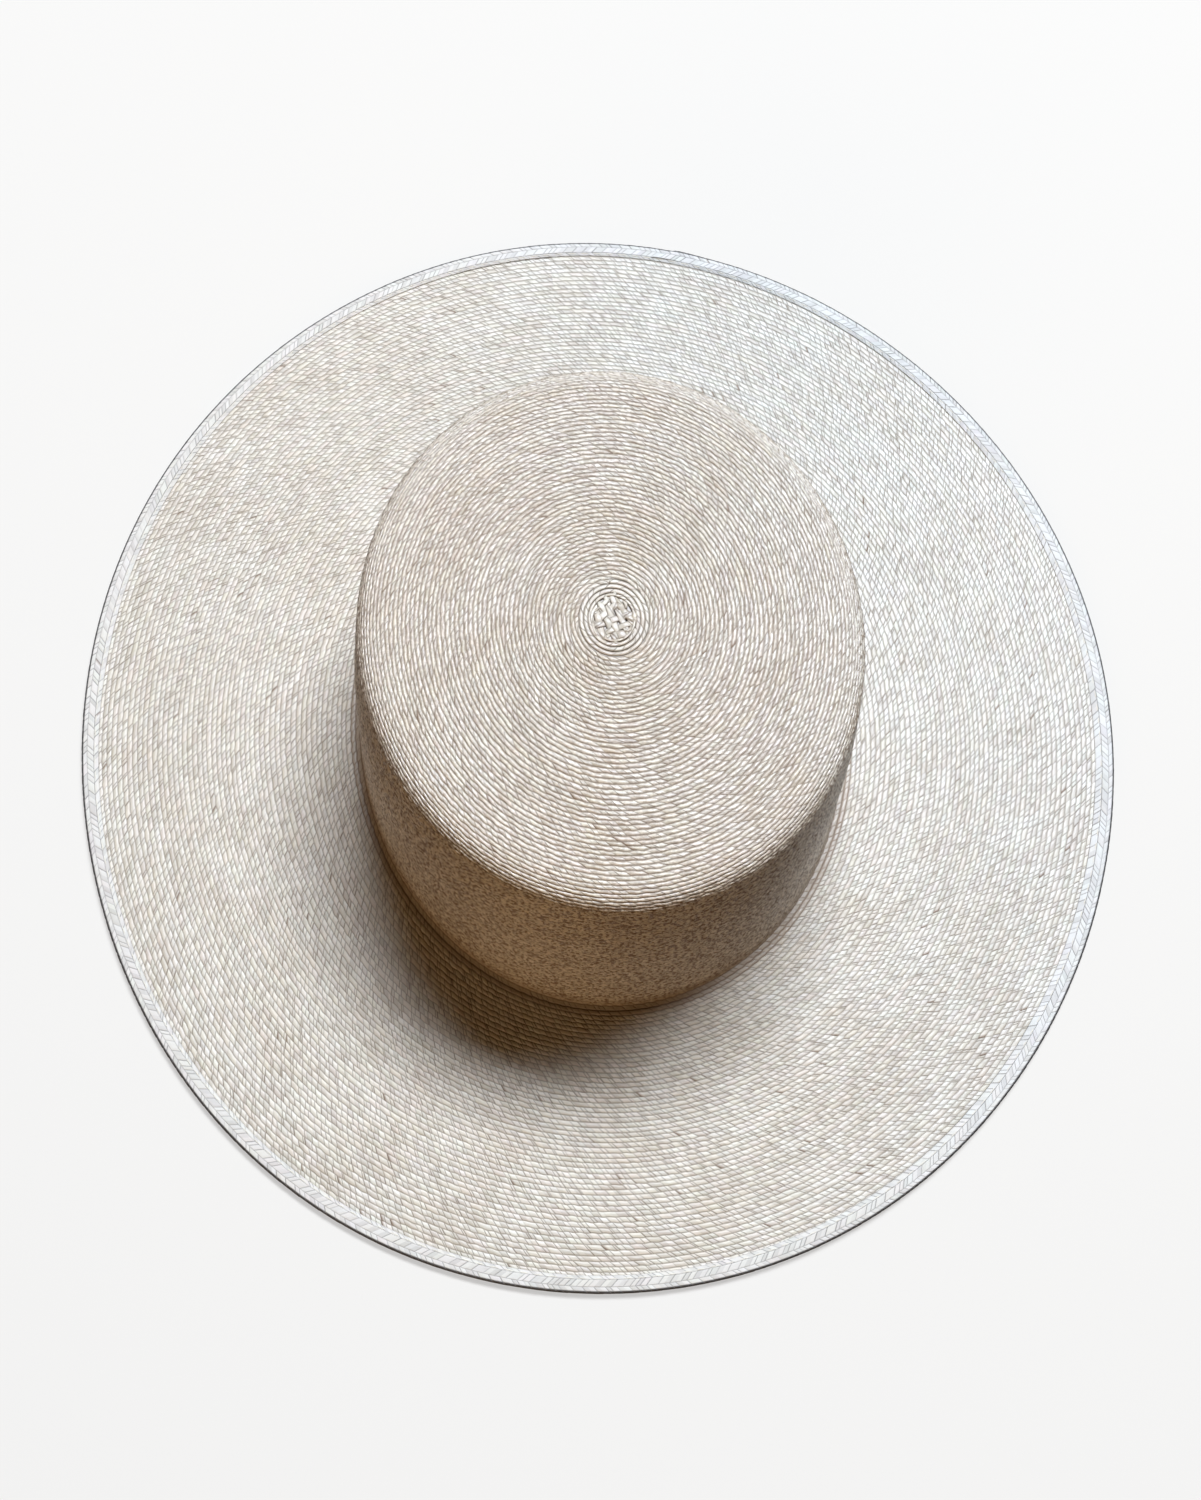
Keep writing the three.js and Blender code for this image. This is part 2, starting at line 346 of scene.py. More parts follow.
def strips(name, courses):
    """Closed flat strips. Each course is the points, up directions, widths, thicknesses and weave U's
    along one strip."""
    section = np.array(STRIP_SECTION)
    sides = len(section)
    all_points, all_faces, all_weave, first = [], [], [], 0
    for number, (centres, ups, widths, thicknesses, along) in enumerate(courses):
        tangents = np.gradient(centres, axis=0)
        tangents /= np.linalg.norm(tangents, axis=1)[:, None]
        across = np.cross(ups, tangents)
        across /= np.linalg.norm(across, axis=1)[:, None]
        widths, thicknesses = (np.reshape(size, (-1, 1)) for size in (widths, thicknesses))
        spread = across[:, None] * (section[:, 0] * widths)[..., None]
        rise = np.cross(tangents, across)[:, None] * (section[:, 1] * thicknesses)[..., None]
        all_points.append((centres[:, None] + spread + rise).reshape(-1, 3))
        count = len(centres)
        step, side = np.meshgrid(np.arange(count - 1), np.arange(sides), indexing="ij")
        after = (side + 1) % sides
        body = quads(step * sides + side, (step + 1) * sides + side,
                     (step + 1) * sides + after, step * sides + after)
        cap = np.array([(0, 1, 2, 3), (0, 3, 4, 7), (4, 5, 6, 7)])
        faces = np.concatenate([body, cap, cap[:, ::-1] + (count - 1) * sides])
        all_faces.append(faces + first)
        first += count * sides
        u = np.repeat(along, sides)
        v = np.tile(2 * number + 0.5 + 0.86 * section[:, 0], count)
        all_weave.append(np.stack([u[faces], v[faces]], axis=-1))
    return new_mesh(name, np.concatenate(all_points), np.concatenate(all_faces), np.concatenate(all_weave))


def smooth_step(low, high, value):
    t = np.clip((value - low) / (high - low), 0, 1)
    return t * t * (3 - 2 * t)


def scatter(*keys):
    """A repeatable value from 0 to 1 for each set of whole numbers."""
    total = sum(np.asarray(key, float) * weight for key, weight in zip(keys, (12.9898, 78.233, 37.719)))
    return np.mod(np.abs(np.sin(total) * 43758.5453), 1)


# ---------------------------------------------------------------------------------------------
# The straw: section, spiral and sheets
# ---------------------------------------------------------------------------------------------

def straw_path():
    """The outer face from the rosette's rim to the end of the brim, and the places along it where the
    shoulder ends and the brim starts."""
    shoulder_height = HAT_HEIGHT - TOP_RISE - SHOULDER_RADIUS
    shoulder = side_reach(shoulder_height) - SHOULDER_RADIUS / math.cos(WALL_LEAN), shoulder_height
    drop = HAT_HEIGHT - shoulder_height
    top_radius = (shoulder[0] ** 2 + drop ** 2 - SHOULDER_RADIUS ** 2) / (2 * TOP_RISE)
    slope = math.atan2(shoulder[0], top_radius - drop)
    up = math.pi / 2
    rim = up - math.asin(BUTTON_RADIUS / top_radius)
    top = arc((0, HAT_HEIGHT - top_radius), top_radius, rim, up - slope)
    over = arc(shoulder, SHOULDER_RADIUS, up - slope, WALL_LEAN)
    foot_reach = BASE_HALF_WIDTH + FOOT_RADIUS * LEAN_REACH
    foot = arc((foot_reach, BRIM_TOP + FOOT_RADIUS), FOOT_RADIUS, math.pi + WALL_LEAN, 1.5 * math.pi)
    side_top = (shoulder[0] + SHOULDER_RADIUS * math.cos(WALL_LEAN),
                shoulder[1] + SHOULDER_RADIUS * math.sin(WALL_LEAN))
    side = line(side_top, foot[0])
    brim_end = brim_high.x, BRIM_TOP
    brim = line((foot_reach, BRIM_TOP), brim_end)
    path = Path(top + over + side + foot + brim + [brim_end])
    shoulder_end = path.places[len(top) + len(over)]
    brim_start = path.places[len(top) + len(over) + len(side) + len(foot)]
    return path, shoulder_end, brim_start


class Spiral:
    """The braid's course. A turn of the spiral is counted at the inner edge of its rib."""

    def __init__(self):
        self.path, self.shoulder_end, self.brim_start = straw_path()
        self.marks = (0, 0.55 * self.shoulder_end, self.shoulder_end, self.brim_start, self.path.length)
        self.edges = self.rib_edges()
        self.ribs = len(self.edges) - 1
        self.turns = np.linspace(0, self.ribs, 40 * self.ribs)
        self.counts = self.strand_counts()

    def rib_edges(self):
        """Places along the section where one rib ends and the next starts, from the rosette out."""
        pitches = (TOP_PITCH, TOP_PITCH, SHOULDER_PITCH, FOOT_PITCH, BRIM_PITCH)
        edges = [0.0]
        while edges[-1] < self.path.length:
            uneven = 1 + RIB_UNEVENNESS * (2 * float(scatter(len(edges))) - 1)
            edges.append(edges[-1] + uneven * float(np.interp(edges[-1], self.marks, pitches)))
        return np.array(edges[:-1])

    def strand_counts(self):
        """Strands from the rosette to each turn. Over several ribs a turn holds the same number of
        strands, so that their ends line up aslant. The waves loosen this, both together and rib by rib."""
        on_path = self.on_path(self.turns)
        girths = girth(self.path.at(on_path, 0)[0])
        strand = np.interp(on_path, (self.shoulder_end, self.brim_start), (TOP_STRAND, BRIM_STRAND))
        in_turn = np.empty_like(girths)
        held = 0
        for i, wanted in enumerate(girths / strand):
            if wanted > 1.12 * held:
                held = round(wanted / 0.9)
            in_turn[i] = held
        steps = np.diff(self.turns)
        counts = np.concatenate([[0], np.cumsum((in_turn[:-1] - STRAND_SLANT) * steps)])
        lengths = np.concatenate([[0], np.cumsum(girths[:-1] * steps)])
        together = ((0.3, 3, 0.2, 0), (0.18, 5, 0.45, 2))
        apart = ((0.12, 97), (0.12, 43), (0.11, 23), (0.08, 13))
        for size, waves, shift, start in together:
            counts += size * np.sin((FULL_TURN * waves + shift) * self.turns + start)
        for size, wave in apart:
            counts += size * np.sin(FULL_TURN * lengths / (wave * MM) + wave)
        return counts

    def on_path(self, turns):
        return np.interp(turns, np.arange(len(self.edges)), self.edges)

    def count(self, rib, around):
        """Strands up to the middle of a rib, at a share of the way round."""
        return np.interp(rib + around + 0.5, self.turns, self.counts)


def rib_relief(count, across, rib, splits):
    """Height of the braid's face, from 0 in the groove between two ribs to about 1 on a strand's crest."""
    slanted = count - STRAND_SLANT * across
    strand = np.floor(slanted)
    share = slanted - strand
    crest = 0.5 + CREST_DRIFT * (share - 0.5)
    ridge = np.clip(1 - np.abs((across - crest) / 0.56) ** 2.2, 0, 1)
    ends = np.sin(math.pi * share) ** 0.5
    split_at = 0.35 + 0.3 * scatter(strand, rib, 5)
    dip = np.where(scatter(strand, rib, 7) < splits, 0.6, 0.15) * np.exp(-((share - split_at) / 0.13) ** 2)
    uneven = 0.75 + 0.45 * scatter(strand, rib)
    groove = np.minimum(across, 1 - across).clip(0, 0.2) / 0.2
    return groove * ridge * (0.32 + 0.68 * ends * (1 - dip) * uneven)


def groove_push(spiral, first, ribs, around):
    """How far each groove gives way to the fatter of the strands on its two sides."""
    grooves = first + np.arange(ribs + 2)[:, None]
    inside = np.sin(math.pi * (spiral.count(grooves - 1, around) - STRAND_SLANT - BULGE_SHIFT)) ** 2
    outside = np.sin(math.pi * (spiral.count(grooves, around) + BULGE_SHIFT)) ** 2
    return RIB_WOBBLE * (inside - outside)


def sheet_skins(spiral, first, ribs, around):
    """The ribbed outer and inner faces, with rows out along the section and columns round the hat."""
    row = np.arange(ribs * ACROSS + 1)[:, None]
    across = (row % ACROSS) / ACROSS
    rib = first + row // ACROSS
    count = spiral.count(rib, around)
    pushed = groove_push(spiral, first, ribs, around)
    rib_number = (row // ACROSS).ravel()
    push = (1 - across) * pushed[rib_number] + across * pushed[rib_number + 1]
    on_path = spiral.on_path(rib + across + around) + push
    reliefs = (TOP_RELIEF, TOP_RELIEF, SIDE_RELIEF, BRIM_RELIEF, BRIM_RELIEF)
    depth = np.interp(on_path, spiral.marks, reliefs)
    from_foot = (on_path - spiral.brim_start + FOOT_RADIUS) / FOOT_DAMPED
    depth *= 1 - FOOT_DAMPING * np.exp(-from_foot ** 2)
    splits = np.interp(on_path, (spiral.shoulder_end, spiral.brim_start), (TOP_SPLITS, BRIM_SPLITS))
    outer = (rib_relief(count, across, rib, splits) - 1) * depth
    inner = (1 - rib_relief(count + 0.5, across, rib, splits)) * depth * INSIDE_RELIEF - STRAW
    turn = BACK + FULL_TURN * around
    return [place(turn, *spiral.path.at(on_path, lift)) for lift in (outer, inner)]


def sheet_faces(rows, columns):
    """Faces of the two skins and the walls between them, and the points of the inner and outer rims.
    The spiral closes on itself one rib further out, so the last column is the first one again there."""
    own = np.arange((rows + 1) * columns).reshape(rows + 1, columns)
    tail = own.size + np.arange(ACROSS)
    under = own.size + ACROSS
    index = np.concatenate([own, np.concatenate([own[ACROSS:, 0], tail])[:, None]], axis=1)
    top = quads(index[:-1, :-1], index[1:, :-1], index[1:, 1:], index[:-1, 1:])
    inner_rim = np.concatenate([own[0], own[ACROSS:0:-1, 0]])
    outer_rim = np.concatenate([own[rows], tail[::-1]])
    after_inner = np.roll(inner_rim, -1)
    after_outer = np.roll(outer_rim, -1)
    inner_wall = quads(inner_rim, after_inner, after_inner + under, inner_rim + under)
    outer_wall = quads(outer_rim, outer_rim + under, after_outer + under, after_outer)
    faces = np.concatenate([top, top[:, ::-1] + under, inner_wall, outer_wall])
    return faces, inner_rim, outer_rim


def groove_normals(spiral, outer_points, rims, rim_places):
    """Two sheets meet in a groove. Its points face straight out, so that the meeting doesn't show."""
    under = len(outer_points)
    turns = np.arctan2(outer_points[rims, 1] / BASE_HALF_LENGTH, outer_points[rims, 0] / BASE_HALF_WIDTH)
    facing = spiral.path.facing(rim_places)
    sideways = np.stack([np.cos(turns) / BASE_HALF_WIDTH, np.sin(turns) / BASE_HALF_LENGTH], axis=1)
    sideways *= (facing[:, 0] / np.linalg.norm(sideways, axis=1))[:, None]
    normals = np.zeros((2 * under, 3))
    normals[rims] = np.concatenate([sideways, facing[:, 1:]], axis=1)
    normals[rims + under] = -normals[rims]
    return normals


def straw_sheet(name, spiral, first, last, columns):
    """One closed sheet of the spiral, from the first turn to the last, ribbed on both faces."""
    ribs = last - first
    rows = ribs * ACROSS
    around = np.arange(columns + 1)[None, :] / columns
    skins = sheet_skins(spiral, first, ribs, around)
    points = [np.concatenate([s[:, :columns].reshape(-1, 3), s[rows + 1 - ACROSS:, columns]]) for s in skins]
    faces, inner_rim, outer_rim = sheet_faces(rows, columns)
    cell = np.arange(rows)[:, None]
    count = spiral.count(first + cell // ACROSS, around)
    low = first + cell / ACROSS
    weave = face_weave(count[:, :-1], count[:, 1:], low, low + 1 / ACROSS)
    walls = len(inner_rim) + len(outer_rim)
    all_weave = np.concatenate([weave, weave[:, ::-1] + (0.5, 0), np.full((walls, 4, 2), 0.5)])
    rims = np.concatenate([inner_rim, outer_rim])
    rim_places = np.repeat((spiral.edges[first], spiral.edges[last]), (len(inner_rim), len(outer_rim)))
    normals = groove_normals(spiral, points[0], rims, rim_places)
    return new_mesh(name, np.concatenate(points), faces, all_weave, walls, normals)


def straw_pieces(spiral, crown_straw, brim_straw):
    """The top, side and brim as sheets of whole turns, each small enough to stay light."""
    shoulder, foot = (int(i) for i in np.searchsorted(spiral.edges, (spiral.shoulder_end, spiral.brim_start)))
    stops = (0, shoulder, foot, spiral.ribs - 1)
    parts = (("top", "crown_tip", crown_straw),
             ("side", "crown_side", crown_straw),
             ("brim", "brim", brim_straw))
    for (label, node, material), first, end in zip(parts, stops, stops[1:]):
        number = 1
        while first < end:
            last = first
            while last < end:
                radius = spiral.path.at(spiral.edges[last + 1], 0)[0]
                wider = 8 * round(girth(radius) / STEP / 8)
                if last > first and (last + 1 - first) * ACROSS * wider * 2 > MOST_QUADS:
                    break
                columns = wider
                last += 1
            sheet = straw_sheet(f"{label}_braid_{number}", spiral, first, last, columns)
            finish_piece(sheet, material, "palm_straw", node)
            first = last
            number += 1


# ---------------------------------------------------------------------------------------------
# The rosette at the middle of the top
# ---------------------------------------------------------------------------------------------

def rosette_base():
    """A low disc that backs the plaited strands."""
    steps = 24
    side = np.linspace(-1, 1, steps + 1)
    x, y = np.meshgrid(side, side, indexing="xy")
    radius = BUTTON_RADIUS - 0.1 * MM
    x, y = radius * x * np.sqrt(1 - y * y / 2), radius * y * np.sqrt(1 - x * x / 2)
    turn = np.arctan2(y, x)
    distance = np.hypot(x, y)
    skins = [place(turn, distance, height).reshape(-1, 3) for height in
             (HAT_HEIGHT - ROSETTE_DEPTH, HAT_HEIGHT - STRAW)]
    index = np.arange((steps + 1) ** 2).reshape(steps + 1, steps + 1)
    top = quads(index[:-1, :-1], index[:-1, 1:], index[1:, 1:], index[1:, :-1])
    rim = np.concatenate([index[0, :-1], index[:-1, -1], index[-1, :0:-1], index[:0:-1, 0]])
    after = np.roll(rim, -1)
    under = index.size
    wall = quads(rim, rim + under, after + under, after)
    faces = np.concatenate([top, top[:, ::-1] + under, wall])
    # The base takes a groove's darker colour: painted shade between the strands.
    painted_groove_shade_uv = np.tile((0.5, 0.1), (len(faces), 4, 1))
    return new_mesh("rosette_base", np.concatenate(skins), faces, painted_groove_shade_uv, len(wall))


def flat_course(turn, radius, height, width, thickness, number, strands=0.8):
    """A strip of the rosette. Its U stays inside one strand unless it is given more of them."""
    centres = place(turn, radius, height)
    ups = np.tile((0.0, 0.0, 1.0), (len(centres), 1))
    along = 3 * number + 0.1 + strands * np.linspace(0, 1, len(centres))
    return centres, ups, width, thickness, along


def patch_course(number):
    """One strand of the woven patch. It goes over and under those that cross it."""
    reach = np.linspace(-1, 1, 25)
    lane = number % PATCH_STRANDS
    crosswise = number >= PATCH_STRANDS
    middle_lane = (PATCH_STRANDS - 1) / 2
    wander = (scatter(number, 5) - 0.5) * 1.3
    middle = (lane - middle_lane + 0.5 * (scatter(number, 11) - 0.5)) * PATCH_PITCH
    along = reach * math.sqrt(PATCH_RADIUS ** 2 - middle ** 2) * (0.85 + 0.2 * scatter(number, 2))
    aside = middle + wander * reach * PATCH_PITCH
    over = np.cos(math.pi * (along / PATCH_PITCH + middle_lane + lane)) * (-1 if crosswise else 1)
    turn = np.arctan2(aside, along) + PATCH_TURN + crosswise * math.pi / 2
    ends = 1 - 0.5 * np.abs(reach) ** 8
    width = PATCH_PITCH * (0.65 + 0.55 * scatter(number, 9)) * ends
    height = ROSETTE_LEVEL + 0.2 * MM * over
    return flat_course(turn, np.hypot(along, aside), height, width, ROSETTE_STRAND, number)


def whorl_course(number):
    """One strand of the whorl round the patch."""
    share = np.linspace(0, 1, 19)
    start = FULL_TURN * (number + 0.9 * scatter(number, 4)) / WHORL_STRANDS
    turn = start + (0.6 + 0.9 * scatter(number, 6)) * share
    inner = WHORL_START * (0.8 + 0.3 * scatter(number, 8))
    radius = inner + (WHORL_END - inner) * share ** 0.7
    height = ROSETTE_LEVEL + 0.26 * MM * np.sin(math.pi * (share * 2.2 + scatter(number, 7)))
    width = WHORL_WIDTH * (0.6 + 0.6 * scatter(number, 3)) * (1 - 0.5 * (2 * share - 1) ** 6)
    return flat_course(turn, radius, height, width, ROSETTE_STRAND, number + 20)


def start_course():
    """The strand that winds round the whorl and leads into the first rib."""
    turns = np.linspace(-START_TURNS, 1, 360)
    width = TOP_PITCH + (START_WIDTH - TOP_PITCH) * smooth_step(-1, -START_TURNS, turns)
    counts = girth(BUTTON_RADIUS) / TOP_STRAND * (turns + START_TURNS)
    bulge = np.abs(np.sin(math.pi * counts)) ** 0.5
    radius = BUTTON_RADIUS + TOP_PITCH * turns - width / 2
    height = HAT_HEIGHT - START_DEPTH + 0.12 * MM * bulge
    width = width * (1.0 + 0.12 * bulge)
    turn = BACK + FULL_TURN * turns
    return flat_course(turn, radius, height, width, START_THICKNESS, 50, counts[-1])


def rosette_strands():
    patch = [patch_course(number) for number in range(2 * PATCH_STRANDS)]
    whorl = [whorl_course(number) for number in range(WHORL_STRANDS)]
    return strips("rosette_strands", [*patch, *whorl, start_course()])


# ---------------------------------------------------------------------------------------------
# The edge: folded plait, flat row, stitches and wire
# ---------------------------------------------------------------------------------------------

def edge_plait():
    """A herringbone plait folded over the brim's edge. The mesh leans with its strands."""
    leg_end = EDGE_RADIUS - PLAIT_WIDTH
    turn_at, above, below = EDGE_RADIUS - FOLD_RADIUS, PLAIT_TOP - FOLD_RADIUS, FOLD_RADIUS
    upper = line((leg_end, PLAIT_TOP - LEG_DROP), (turn_at, PLAIT_TOP))
    over = arc((turn_at, above), FOLD_RADIUS, math.pi / 2, 0)
    outside = line((EDGE_RADIUS, above), (EDGE_RADIUS, below))
    under = arc((turn_at, below), FOLD_RADIUS, 0, -math.pi / 2)
    lower = line((turn_at, 0.0), (leg_end, 0.0))
    path = Path(upper + over + outside + under + lower + [(leg_end, 0.0)])
    rows = PLAIT_COLUMNS * PLAIT_CELLS
    strand_total = round(girth(EDGE_RADIUS) / PLAIT_PITCH)
    columns = strand_total * PLAIT_CELLS
    row = np.arange(rows + 1)[:, None]
    column = np.arange(columns)[None, :]
    lane = row // PLAIT_CELLS
    zigzag = PLAIT_SKEW * np.abs(np.mod(row / PLAIT_CELLS + 1, 2) - 1)
    turn = FULL_TURN * (column / PLAIT_CELLS - zigzag) / strand_total
    share = np.mod(column / PLAIT_CELLS + lane % 2 / 2, 1)
    strand = np.floor(column / PLAIT_CELLS + lane % 2 / 2)
    in_lane = (row % PLAIT_CELLS) / PLAIT_CELLS
    dome = np.where(share == 0, 0.3, 0.75 + 0.25 * share)
    relief = np.where(in_lane == 0, 0.7, 1.0) * dome * (0.75 + 0.25 * scatter(strand, lane))
    on_path = row / rows * path.length
    ahead = (LAP_TURN - turn) * EDGE_RADIUS - 2 * (on_path - PLAIT_WIDTH / 2)
    lap = np.where(ahead > 0, LAP_RISE * (1 - smooth_step(0, LAP_LENGTH, ahead)), 0)
    radius, height = path.at(np.broadcast_to(on_path, turn.shape), (relief - 1) * PLAIT_RELIEF + lap)
    back_rows = 8
    back = np.linspace(path.length, 0, back_rows)[:, None]
    back_turn = FULL_TURN * column / columns
    back_radius, back_height = path.at(np.broadcast_to(back, (back_rows, columns)), -STRAND_THICKNESS)
    points = np.concatenate([place(turn, radius, height), place(back_turn, back_radius, back_height)])
    cell = np.arange(rows)[:, None]
    shift = cell // PLAIT_CELLS % 2 / 2
    u, next_u = column / PLAIT_CELLS + shift, (column + 1) / PLAIT_CELLS + shift
    weave = face_weave(u, next_u, cell / PLAIT_CELLS, (cell + 1) / PLAIT_CELLS)
    plain = np.full(((back_rows + 1) * columns, 4, 2), 0.5)
    faces = wrapped_faces(rows + 1 + back_rows, columns)
    return new_mesh("edge_plait", points.reshape(-1, 3), faces, np.concatenate([weave, plain]))


def edge_flat_row():
    """A flat row of the same strands, from the brim up to the plait. Its width changes round the hat."""
    columns = 8 * round(girth(row_high.x) / STEP / 8)
    turn = FULL_TURN * np.arange(columns)[None, :] / columns
    from_wide = turn - ROW_WIDE_TURN
    width = ROW_WIDTH + ROW_SIDE * np.cos(from_wide) + ROW_SPREAD * np.cos(2 * from_wide)
    over = np.array((0, 0.1, 0.25, 0.4, 0.55, 0.7, 0.85, 0.97, 1, 1, 0))[:, None]
    rise = np.array((0.15, 0.32, 0.48, 0.6, 0.71, 0.82, 0.92, 1, 0.97, 0, 0))[:, None]
    strands = turn * row_high.x / PLAIT_PITCH - ROW_SKEW * over
    share = np.mod(strands, 1)
    height = BRIM_TOP - 0.2 * MM + ROW_RISE * rise * (0.82 + 0.18 * np.sin(math.pi * share) ** 0.4)
    radius = EDGE_RADIUS - PLAIT_WIDTH + 0.02 * MM - width * (1 - over)
    rows_in_sight = 8
    return ring("edge_flat_row", turn, radius, height, PLAIT_PITCH, -ROW_SKEW * len(over) / rows_in_sight)


def stitches(name, radius, height, pitch, length, lean, ups):
    """Short thread stitches in a row round the hat."""
    total = round(girth(radius) / pitch)
    share = np.linspace(-0.5, 0.5, 5)
    courses = []
    for number in range(total):
        turn = FULL_TURN * number / total + share * length / radius
        centres = place(turn, radius, height + lean * share)
        normals = np.tile(ups, (len(share), 1)) if ups is not None else -centres * (1, 1, 0)
        taper = THREAD_WIDTH * (1 - 0.6 * (2 * share) ** 4)
        courses.append((centres, normals, taper, taper, 3 * number + 0.5 + 0.3 * share))
    return strips(name, courses)


def wire():
    around = -FULL_TURN * np.arange(12)[:, None] / 12
    columns = 256
    turn = FULL_TURN * np.arange(columns)[None, :] / columns
    wire_radius = (wire_high.z - wire_low.z) / 2
    radius = wire_high.x - wire_radius + wire_radius * np.cos(around)
    height = (wire_high.z + wire_low.z) / 2 + wire_radius * np.sin(around)
    return ring("wire_hoop", *np.broadcast_arrays(turn, radius, height), 10 * MM)


# ---------------------------------------------------------------------------------------------
# The lining: ribbon, tab and stitches
# ---------------------------------------------------------------------------------------------

def ribbon_band():
    """The sweatband: a ribbon against the inside of the crown, with thicker edges."""
    columns = 8 * round(girth(band_high.x) / (2 * MM) / 8)
    turn = FULL_TURN * np.arange(columns)[None, :] / columns
    levels = np.array((0, 0.02, 0.05, 0.07, 0.5, 0.93, 0.95, 0.98, 1))
    fullness = np.array((0.3, 0.95, 0.95, 0.7, 0.7, 0.7, 0.95, 0.95, 0.3))
    heights = np.concatenate([levels, levels[::-1]]) * (band_high.z - band_low.z) + band_low.z
    distance = np.concatenate([fullness, np.zeros(len(levels))]) * BAND_THICKNESS
    outer = (STRAW + BAND_GAP) / math.cos(WALL_LEAN)
    radius = side_reach(heights) - outer - distance / math.cos(WALL_LEAN)
    shape = (len(heights), columns)
    arrays = (np.broadcast_to(a, shape) for a in (turn, radius[:, None], heights[:, None]))
    return ring("sweatband_ribbon", *arrays, GROSGRAIN_RIB)


def ribbon_tab():
    """A short ribbon over the sweatband's joint, at the back."""
    heights = np.linspace(tab_low.z + TAB_INSET, tab_high.z - TAB_INSET, TAB_STEPS)
    inwards = STRAW + BAND_GAP + BAND_THICKNESS + TAB_GAP + TAB_THICKNESS / 2
    radius = side_reach(heights) - inwards / math.cos(WALL_LEAN)
    centres = place(np.full(TAB_STEPS, BACK), radius, heights)
    ups = np.tile((0.0, -1.0, 0.0), (TAB_STEPS, 1))
    ends = 1 - 0.3 * np.abs(np.linspace(-1, 1, TAB_STEPS)) ** 12
    width = (tab_high.x - tab_low.x) * ends
    along = np.linspace(0, heights[-1] - heights[0], TAB_STEPS) / GROSGRAIN_RIB
    return strips("sweatband_tab_ribbon", [(centres, ups, width, TAB_THICKNESS, along)])


# ---------------------------------------------------------------------------------------------
# Material helpers
# ---------------------------------------------------------------------------------------------

class Nodes:
    """A material's node tree, with short calls for the nodes used here. Each returns an output socket."""

    def __init__(self, name):
        self.material = bpy.data.materials.new(name)
        self.material.use_nodes = True
        self.tree = self.material.node_tree
        self.shader = self.tree.nodes["Principled BSDF"]

    def add(self, kind, inputs, output=0, **settings):
        node = self.tree.nodes.new(kind)
        for key, value in settings.items():
            setattr(node, key, value)
        for key, value in inputs.items():
            self.give(node.inputs[key], value)
        return node.outputs[output]

    def give(self, socket, value):
        if isinstance(value, bpy.types.NodeSocket):
            self.tree.links.new(value, socket)
        else:
            socket.default_value = value

    def maths(self, operation, *values):
        return self.add("ShaderNodeMath", dict(enumerate(values)), operation=operation)

    def times(self, *values):
        return self.maths("MULTIPLY", *values)

    def plus(self, *values):
        return self.maths("ADD", *values)

    def minus(self, *values):
        return self.maths("SUBTRACT", *values)

    def share(self, value, low, high, to_low=0.0, to_high=1.0):
        """A smooth step from one value to another."""
        inputs = {"Value": value, "From Min": low, "From Max": high, "To Min": to_low, "To Max": to_high}
        return self.add("ShaderNodeMapRange", inputs, interpolation_type="SMOOTHSTEP")

    def mix(self, factor, first, second, blend="MIX"):
        inputs = {0: factor, 6: first, 7: second}
        return self.add("ShaderNodeMix", inputs, output=2, data_type="RGBA", blend_type=blend)

    def weave(self):
        """U and V of the weave."""
        apart = self.tree.nodes.new("ShaderNodeSeparateXYZ")
        self.tree.links.new(self.add("ShaderNodeUVMap", {}, uv_map="weave"), apart.inputs[0])
        return apart.outputs[0], apart.outputs[1]

    def position(self):
        """Place in the piece's own frame."""
        return self.add("ShaderNodeTexCoord", {}, output=3)

    def along(self, vector, way):
        return self.add("ShaderNodeVectorMath", {0: vector, 1: way}, output=1, operation="DOT_PRODUCT")

    def vector(self, x, y, z=0.0):
        return self.add("ShaderNodeCombineXYZ", {"X": x, "Y": y, "Z": z})

    def noise(self, vector, scale, detail=2.0):
        inputs = {"Vector": vector, "Scale": scale, "Detail": detail}
        return self.add("ShaderNodeTexNoise", inputs, noise_dimensions="3D")

    def random(self, vector, output=0):
        return self.add("ShaderNodeTexWhiteNoise", {"Vector": vector}, output, noise_dimensions="3D")

    def bump(self, height, distance, strength, below=None):
        inputs = {"Height": height, "Distance": distance, "Strength": strength}
        if below is not None:
            inputs["Normal"] = below
        return self.add("ShaderNodeBump", inputs)

    def set(self, **values):
        for key, value in values.items():
            self.give(self.shader.inputs[key.replace("_", " ").title().replace("Ior", "IOR")], value)


def strand_gaps(n, share, own_tone, own_wear, gap_width, splits):
    """Gaps at the ends of every strand and halfway along some of them, each of its own darkness."""
    to_end = n.maths("MINIMUM", share, n.minus(1.0, share))
    end_gap = n.share(to_end, 0.0, gap_width, 1.0, 0.0)
    end_gap = n.times(end_gap, n.plus(0.12, n.times(own_wear, 0.88)))
    split_at = n.plus(0.35, n.times(own_tone, 0.6))
    to_split = n.maths("ABSOLUTE", n.minus(share, split_at))
    split_gap = n.share(to_split, 0.0, gap_width * 0.8, 0.75, 0.0)
    split_gap = n.times(split_gap, n.maths("LESS_THAN", own_tone, splits))
    return n.maths("MAXIMUM", end_gap, split_gap)


